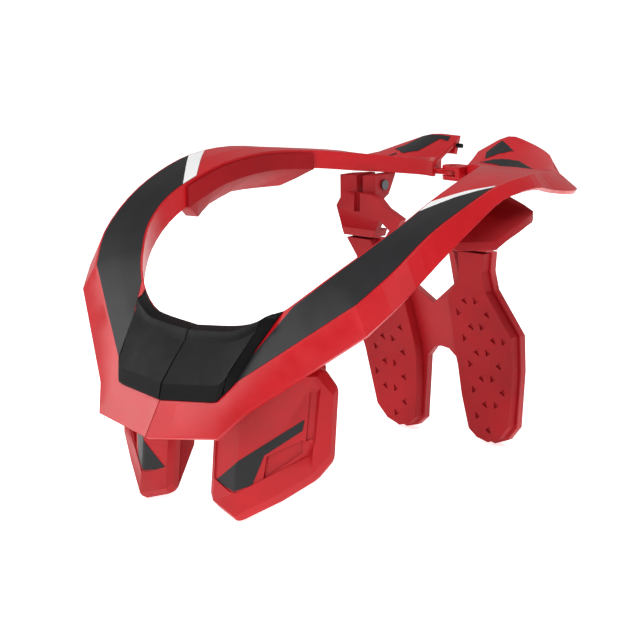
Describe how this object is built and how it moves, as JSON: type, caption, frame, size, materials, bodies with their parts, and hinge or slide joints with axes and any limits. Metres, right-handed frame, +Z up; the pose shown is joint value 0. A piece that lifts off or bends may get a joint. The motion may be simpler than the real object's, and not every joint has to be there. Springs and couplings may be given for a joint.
{
  "type": "motocross neck brace",
  "caption": "Open ring collar of hard plastic for the neck, hinged behind, with a soft front pad, chest rests in front and a tilting back strut with two padded legs.",
  "frame": {"origin": "centre of the bounding box at the surface the brace stands on", "axes": "+X to the wearer's left, -Y the way the wearer faces, +Z up"},
  "size_m": [0.2624, 0.3044, 0.1954],
  "materials": {
    "frame_plastic": "satin moulded plastic",
    "rest_plastic": "satin moulded plastic",
    "foam": "matt closed-cell foam",
    "pad_rubber": "matt black rubber",
    "screw_metal": "brushed"
  },
  "bodies": {
    "collar_left": {"left_frame": "frame_plastic", "hinge_block": "frame_plastic", "hinge_pin": "screw_metal", "left_front_pad": "pad_rubber", "left_shoulder_pad": "foam", "left_chest_plate": "rest_plastic", "left_chest_foam": "foam"},
    "collar_right": {"right_frame": "frame_plastic", "right_front_pad": "pad_rubber", "right_shoulder_pad": "foam", "right_chest_plate": "rest_plastic", "right_chest_foam": "foam", "rear_bumper": "pad_rubber"},
    "strut": {"back_strut": "frame_plastic", "left_back_pad": "foam", "right_back_pad": "foam", "left_pivot_screw": "screw_metal", "right_pivot_screw": "screw_metal"}
  },
  "joints": [
    {"name": "collar_hinge", "type": "hinge", "parent": "collar_left", "child": "collar_right", "pos_m": [-0.002, 0.12512, 0.173], "axis": [0, 0, -1], "range_deg": [0, 25]},
    {"name": "strut_tilt", "type": "hinge", "parent": "collar_left", "child": "strut", "pos_m": [0, 0.09862, 0.1645], "axis": [1, 0, 0], "range_deg": [-6, 6]}
  ]
}
